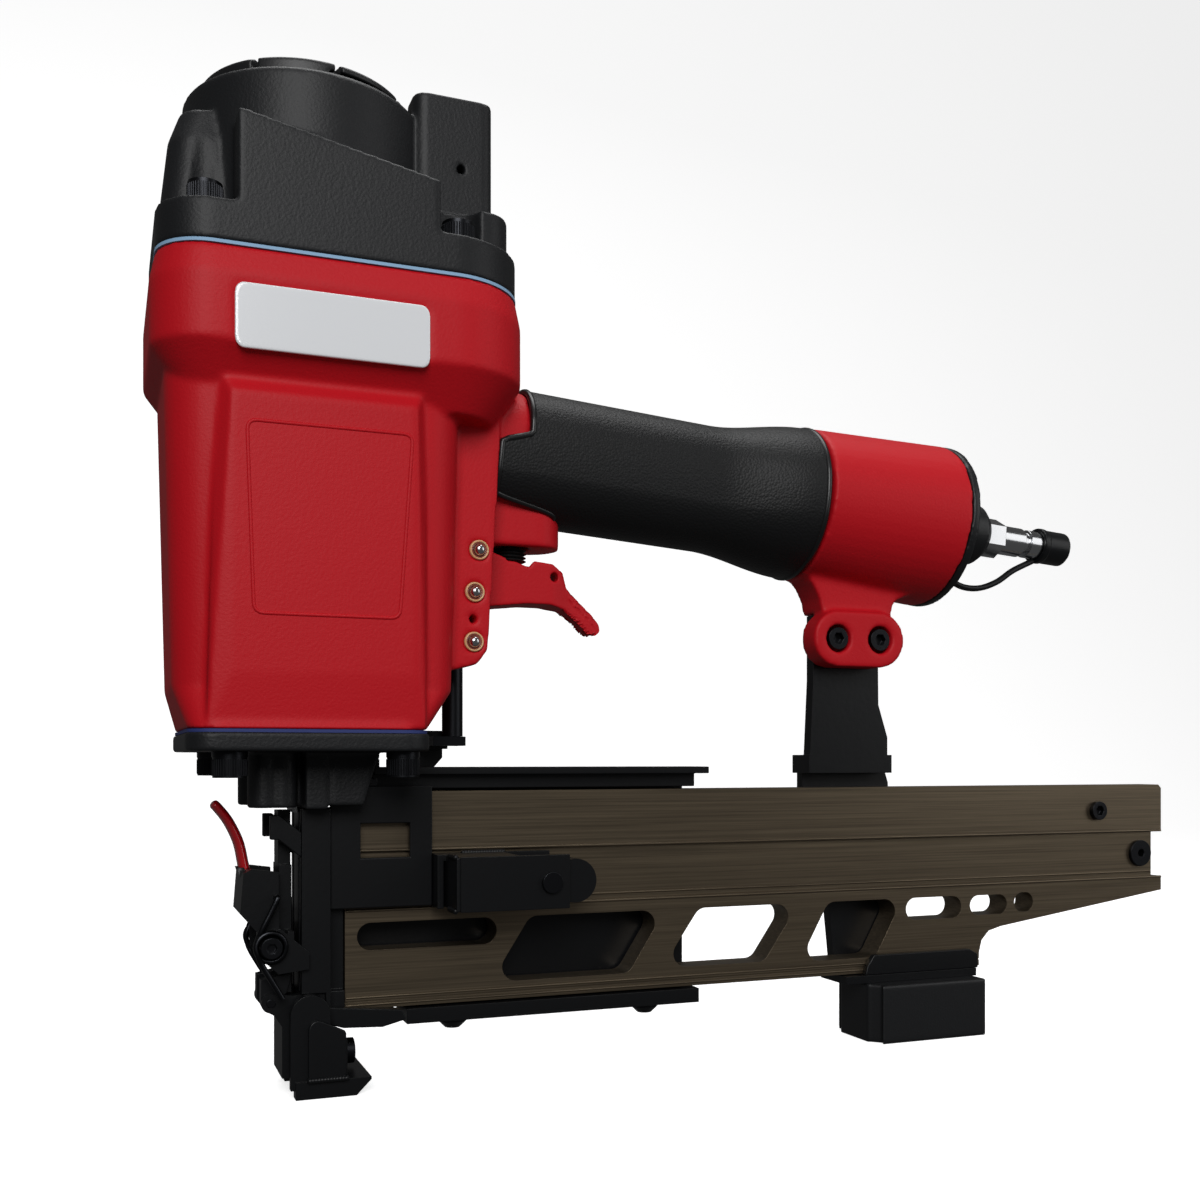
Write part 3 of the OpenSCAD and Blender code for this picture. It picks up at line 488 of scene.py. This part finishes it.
def grown(points, edges, group, values):
    """The mesh that a node group makes from points and edges, its inputs set by identifier."""
    base = bpy.data.meshes.new("base")
    base.from_pydata(points, edges, [])
    obj = bpy.data.objects.new("work", base)
    bpy.context.scene.collection.objects.link(obj)
    step = obj.modifiers.new("grow", "NODES")
    step.node_group = group
    for item in group.interface.items_tree:
        if item.in_out == "INPUT" and item.name in values:
            step[item.identifier] = values[item.name]
    obj.update_tag()
    graph = bpy.context.evaluated_depsgraph_get()
    graph.update()
    mesh = bpy.data.meshes.new_from_object(obj.evaluated_get(graph))
    bpy.data.objects.remove(obj)
    return mesh


ripple = ripples("weld_ripples")
seams = {
    "frame_body": [((0.0482, -0.0285, 0.0774), (0.0482, -0.0215, 0.0774)),
                   ((0.0482, -0.0285, 0.0599), (0.0482, -0.0215, 0.0599)),
                   ((0.056, -0.0093, 0.0775), (0.0700, -0.0093, 0.0775))],
    "contact": [((0.0034, -0.0166, 0.0061), (0.0150, -0.0166, 0.0061))]}
for body, runs in seams.items():
    points = [end for run in runs for end in run]
    edges = [(2 * i, 2 * i + 1) for i in range(len(runs))]
    mesh = grown(points, edges, ripple,
                 {"Ripple": 0.001, "Pitch": 0.0009, "Material": black_steel})
    put("weld_beads_" + body, mesh, black_steel, "black_paint", body)

# Screws: class 12.9 socket heads with a black oxide finish and a light oil.
# Their heads are knurled round the side so that fingers can start them.
oxide = coated("black_oxide_steel", "#232427", 0.34, 0.002, 0.00001, {"Metallic": 0.9})
fixings = {"frame_body": ["base_screws", "cap_screws", "clamp_screws", "channel_screws",
                          "catch_pin", "deflector_screw", "door_pin"],
           "contact": ["contact_screw"], "magazine": ["rail_screw", "rail_bush"],
           "door": ["latch_bolt"]}
for body, nodes in fixings.items():
    for node in nodes:
        put(node + "_edged", edged(node, 0.00025), oxide, "dark_steel", body, node)


def knurls(name):
    """Upright ribs round each point, as a node group with named inputs."""
    tree = bpy.data.node_groups.new(name, "GeometryNodeTree")
    for label, kind in (("Geometry", "NodeSocketGeometry"), ("Ribs", "NodeSocketInt"),
                        ("Head radius", "NodeSocketFloat"), ("Height", "NodeSocketFloat"),
                        ("Material", "NodeSocketMaterial")):
        tree.interface.new_socket(label, in_out="INPUT", socket_type=kind)
    tree.interface.new_socket("Geometry", in_out="OUTPUT", socket_type="NodeSocketGeometry")
    given = add(tree, "NodeGroupInput")
    circle = add(tree, "GeometryNodeMeshCircle", None,
                 {"Vertices": given.outputs["Ribs"], "Radius": given.outputs["Head radius"]})
    rib = add(tree, "GeometryNodeMeshCylinder", None,
              {"Vertices": 6, "Radius": 0.00025, "Depth": given.outputs["Height"]})
    crown = add(tree, "GeometryNodeInstanceOnPoints", None,
                {"Points": circle.outputs["Mesh"], "Instance": rib.outputs["Mesh"]})
    heads = add(tree, "GeometryNodeInstanceOnPoints", None,
                {"Points": given.outputs["Geometry"], "Instance": crown.outputs["Instances"]})
    real = add(tree, "GeometryNodeRealizeInstances", None,
               {"Geometry": heads.outputs["Instances"]})
    done = add(tree, "GeometryNodeSetMaterial", None,
               {"Geometry": real.outputs["Geometry"], "Material": given.outputs["Material"]})
    add(tree, "NodeGroupOutput", None, {"Geometry": done.outputs["Geometry"]})
    return tree


knurl = knurls("head_knurls")
for name, xs, y, z in (("cap", (-0.0301, 0.0475), 0.034, 0.2771),
                       ("base", (-0.0228, 0.0302), 0.0316, 0.1068)):
    heads = [(x, s * y, z) for x in xs for s in (-1, 1)]
    mesh = grown(heads, [], knurl, {"Ribs": 40, "Head radius": 0.0051, "Height": 0.005,
                                    "Material": oxide})
    put(name + "_screw_knurls", mesh, oxide, "dark_steel", "frame_body")

# Latch wire: 2 mm spring wire, coiled once round each end of the door's pivot bolt.
# It is drawn, then blackened and oiled, so it shines only along its length.
wire_steel = coated("drawn_spring_wire", "#2c2d30", 0.32, 0.002, 0.00001, {"Metallic": 1.0})
for side in (-1, 1):
    y = side * 0.0152
    path = [(-0.0066, side * 0.0118, 0.0652), (-0.0066, side * 0.0145, 0.0652),
            (-0.0068, y, 0.0645), (-0.0087, y, 0.0605), (-0.0112, y, 0.0556)]
    for i in range(13):
        a = math.radians(150 + 35 * i)
        path.append((-0.0087 + 0.0046 * math.cos(a), y + side * (i / 12 - 0.5) * 0.0016,
                     0.0494 + 0.0046 * math.sin(a)))
    path += [(-0.0116, y, 0.0442), (-0.0085, y, 0.0388), (-0.005, y, 0.0328)]
    put("latch_wire_%d" % (side + 1), tube(smooth_path(path, 4), 0.00095), wire_steel,
        "dark_steel", "door", *(["latch_wire"] if side < 0 else []))

# Latch handle: the bent lever's end, dipped in red PVC.
# The dip is thick and glossy, with a round nose.
dip = coated("pvc_dip_red", "#b00c16", 0.2, 0.004, 0.00003,
             {"Coat Weight": 0.8, "Coat Roughness": 0.08})
sides = 24
half_thick, half_wide, taper = 0.0019, 0.0038, 0.0003
line = smooth_path([(-0.0151, 0, 0.0722), (-0.0158, 0, 0.0753), (-0.0173, 0, 0.0823),
                    (-0.0204, 0, 0.089), (-0.0238, 0, 0.0936), (-0.0256, 0, 0.0953)], 8)
verts, faces = [], []
last = len(line) - 1
for i, at in enumerate(line):
    ahead = (line[min(i + 1, last)] - line[max(i - 1, 0)]).normalized()
    across = Vector((ahead.z, 0, -ahead.x))
    end = min(1, (0.12 + i / 4), (0.1 + (last - i) / 5))
    full = math.sqrt(1 - (1 - end) ** 2)
    for k in range(sides):
        a = 2 * math.pi * k / sides
        verts.append(at + across * (half_thick - taper * i / last) * full * math.cos(a)
                     + Vector((0, half_wide * full * math.sin(a), 0)))
for i in range(last):
    for k in range(sides):
        n = (k + 1) % sides
        low, high = i * sides, (i + 1) * sides
        faces.append((low + k, low + n, high + n, high + k))
faces += [tuple(range(sides)), tuple(reversed(range(last * sides, (last + 1) * sides)))]
handle = bpy.data.meshes.new("handle")
handle.from_pydata(verts, [], faces)
work = bmesh.new()
work.from_mesh(handle)
bmesh.ops.recalc_face_normals(work, faces=work.faces)
work.to_mesh(handle)
work.free()
for face in handle.polygons:
    face.use_smooth = True
put("latch_handle_dip", shaped(handle, [("SUBSURF", {"levels": 1, "render_levels": 1})]), dip,
    "red_dip", "latch", "latch_handle")

# Latch lever: bent sheet that ends in the dipped tongue. It is painted black,
# and its tongue is hidden in the dip.
lever = edged("latch_lever", 0.0004)
work = bmesh.new()
work.from_mesh(lever)
cut = bmesh.ops.bisect_plane(work, geom=work.verts[:] + work.edges[:] + work.faces[:],
                             plane_co=(0, 0, 0.0742), plane_no=(0, 0, 1), clear_outer=True)
rim = [e for e in cut["geom_cut"] if isinstance(e, bmesh.types.BMEdge)]
bmesh.ops.holes_fill(work, edges=rim)
work.to_mesh(lever)
work.free()
put("latch_lever_edged", lever, black_steel, "black_paint", "latch", "latch_lever")


# Air plug: turned steel, nickel plated. It screws into the swivel bush and
# shows its turned shine, a ball groove and a hexagon.
nickel = coated("nickel_plate", "#c6c7c9", 0.18, 0.003, 0.000005, {"Metallic": 1.0})
put("air_plug_edged", edged("air_plug", 0.0003), nickel, "bright_steel", "frame_body",
    "air_plug")


# Cross pins: ground steel with domed ends. They carry the trigger and stop it
# from turning too far, and the grommets hold them.
def turned(centres, profile, steps=32):
    """A profile of (radius, y) turned about an axis along Y through each (x, z)."""
    work = bmesh.new()
    for x, z in centres:
        rings = []
        for r, y in profile:
            rings.append([work.verts.new((x + r * math.cos(2 * math.pi * k / steps), y,
                                          z + r * math.sin(2 * math.pi * k / steps)))
                          for k in range(steps)])
        for low, high in zip(rings, rings[1:]):
            for k in range(steps):
                n = (k + 1) % steps
                work.faces.new((low[k], low[n], high[n], high[k]))
        if profile[0][0] < 0.001:
            work.faces.new(rings[0])
            work.faces.new(rings[-1])
    bmesh.ops.remove_doubles(work, verts=work.verts, dist=1e-6)
    bmesh.ops.recalc_face_normals(work, faces=work.faces)
    mesh = bpy.data.meshes.new("turned")
    work.to_mesh(mesh)
    work.free()
    for face in mesh.polygons:
        face.use_smooth = True
    return mesh


pin_at = [(0.0586, 0.1792), (0.0571, 0.1651), (0.0568, 0.1485)]
dome = [(0.0003, 0.0221), (0.0008, 0.02205), (0.0013, 0.0218), (0.0017, 0.0213), (0.00192, 0.0207),
        (0.00198, 0.02)]
pin = [(r, -y) for r, y in dome] + [(r, y) for r, y in reversed(dome)]
put("trigger_pins_domed", turned(pin_at, pin), nickel, "bright_steel", "frame_body",
    "trigger_pins")

# Grommets: amber polyurethane rings that hold the cross pins in the ears.
# Their rims are pale where light passes through, and the casting shows rosy in the web.
amber = coated("polyurethane_amber", "#d3a97c", 0.25, 0.003, 0.00001,
               {"Subsurface Weight": 0.3, "Subsurface Radius": (0.002, 0.001, 0.0005),
                "Subsurface Scale": 0.5})
web = coated("polyurethane_web", "#8f4a40", 0.22, 0.003, 0.00001)
for side, name in ((-1, "near"), (1, "far")):
    rim = [(0.00262, 0.0187), (0.00262, 0.0203), (0.0028, 0.0206), (0.00308, 0.0206),
           (0.0033, 0.0203), (0.00337, 0.0198), (0.00337, 0.0187), (0.00262, 0.0187)]
    put("grommet_rims_" + name, turned(pin_at, [(r, side * y) for r, y in rim]), amber,
        "amber_plastic", "frame_body", *(["pin_grommets"] if side < 0 else []))
    flat = [(0.00202, 0.0188), (0.00202, 0.0199), (0.0024, 0.0201), (0.00268, 0.0201),
            (0.00268, 0.0188), (0.00202, 0.0188)]
    put("grommet_webs_" + name, turned(pin_at, [(r, side * y) for r, y in flat]), web,
        "amber_plastic", "frame_body")
refinished(amber, "head_valve")

# Valve boot, bumper and seals: plain moulded nitrile rubber.
# The boot is a small bellows round the trigger valve's stem.
nitrile = coated("nitrile_rubber", "#141414", 0.55, 0.001, 0.00002)
stem_x, boot_top, fold, boot_steps = 0.075, 0.1834, 0.00062, 36
bellows = [(0.0063 if i % 2 else 0.0048, boot_top - fold * i) for i in range(9)]
work = bmesh.new()
rings = [[work.verts.new((stem_x + r * math.cos(2 * math.pi * k / boot_steps),
                          r * math.sin(2 * math.pi * k / boot_steps), z))
          for k in range(boot_steps)] for r, z in bellows]
for low, high in zip(rings, rings[1:]):
    for k in range(boot_steps):
        n = (k + 1) % boot_steps
        work.faces.new((low[k], low[n], high[n], high[k]))
work.faces.new(rings[0])
work.faces.new(rings[-1])
bmesh.ops.recalc_face_normals(work, faces=work.faces)
boot = bpy.data.meshes.new("boot")
work.to_mesh(boot)
work.free()
boot = shaped(boot, [("BEVEL", {"width": 0.00016, "segments": 2, "limit_method": "ANGLE",
                                "angle_limit": math.radians(30)})])
put("valve_boot_bellows", boot, nitrile, "black_rubber", "frame_body", "valve_boot")
refinished(nitrile, "bumper", "sleeve_seals", "piston_ring")

# Safety rod and spring, and the inner steel parts: the first two have a black oxide
# finish, and the others are ground or drawn steel, oiled.
ground = coated("ground_steel", "#9a9b9d", 0.28, 0.002, 0.00001, {"Metallic": 1.0})
refinished(oxide, "safety_rod", "safety_spring")
refinished(ground, "driver_blade", "head_valve_spring", "valve_stem", "cylinder_sleeve",
           "piston")

# Pusher and valve body: machined brass, dull from handling.
# Both are mostly hidden, in the rail's groove and in the handle root.
brass = coated("machined_brass", "#a98b45", 0.35, 0.002, 0.00001, {"Metallic": 1.0})
refinished(brass, "staple_pusher", "valve_body")

# Studio: a pale sweep under soft light from above and the left, with a weak fill
# from the right, as a catalogue picture is lit.
sweep = bpy.data.meshes.new("sweep")
profile = [(-3.0, 0)] + [(0.9 + 0.8 * math.sin(a), 0.8 - 0.8 * math.cos(a))
                         for a in [math.radians(9 * i) for i in range(11)]] + [(1.7, 4.0)]
verts = [(x, y, z) for y, z in profile for x in (-5, 5)]
faces = [(2 * i, 2 * i + 1, 2 * i + 3, 2 * i + 2) for i in range(len(profile) - 1)]
sweep.from_pydata(verts, [], faces)
for face in sweep.polygons:
    face.use_smooth = True
paper = coated("studio_paper", "#f2f2f2", 0.9, 0.002, 0.00001,
               {"Specular IOR Level": 0.1, "Emission Color": (1, 1, 1, 1),
                "Emission Strength": 0.72})
floor = put("studio_sweep", sweep, paper, None, None)
floor.visible_glossy = False
floor.visible_diffuse = False


def softbox(name, at, aim, size, power):
    lamp = bpy.data.lights.new(name, "AREA")
    lamp.shape = "RECTANGLE"
    lamp.size, lamp.size_y = size
    lamp.energy = power
    obj = bpy.data.objects.new(name, lamp)
    obj.location = at
    obj.rotation_euler = (Vector(aim) - Vector(at)).to_track_quat("-Z", "Y").to_euler()
    bpy.context.scene.collection.objects.link(obj)
    return obj


centre = (0.15, 0, 0.15)
softbox("key", (-0.35, -1.4, 0.9), centre, (0.9, 0.9), 18)
softbox("top", (0.25, 0.15, 1.5), centre, (1.2, 0.8), 11)
softbox("fill", (1.3, -0.9, 0.6), centre, (0.8, 1.0), 4)
world = bpy.data.worlds.new("studio")
world.use_nodes = True
sky = world.node_tree.nodes["Background"]
sky.inputs["Color"].default_value = (1, 1, 1, 1)
sky.inputs["Strength"].default_value = 0.08
bpy.context.scene.world = world
bpy.context.scene.view_settings.view_transform = "Standard"

# Camera: level, near the nose's height, turned 21.4 degrees towards the air plug.
# The picture is shifted up to hold the whole nailer.
camera = bpy.data.objects.new("camera", bpy.data.cameras.new("camera"))
camera.location = (-0.0592, -0.431, 0.1091)
camera.rotation_euler = (math.radians(90), 0, math.radians(-21.4))
camera.data.lens = 38.25
camera.data.sensor_width = 36
camera.data.shift_y = 0.1333
camera.data.clip_start = 0.01
bpy.context.scene.collection.objects.link(camera)
bpy.context.scene.camera = camera
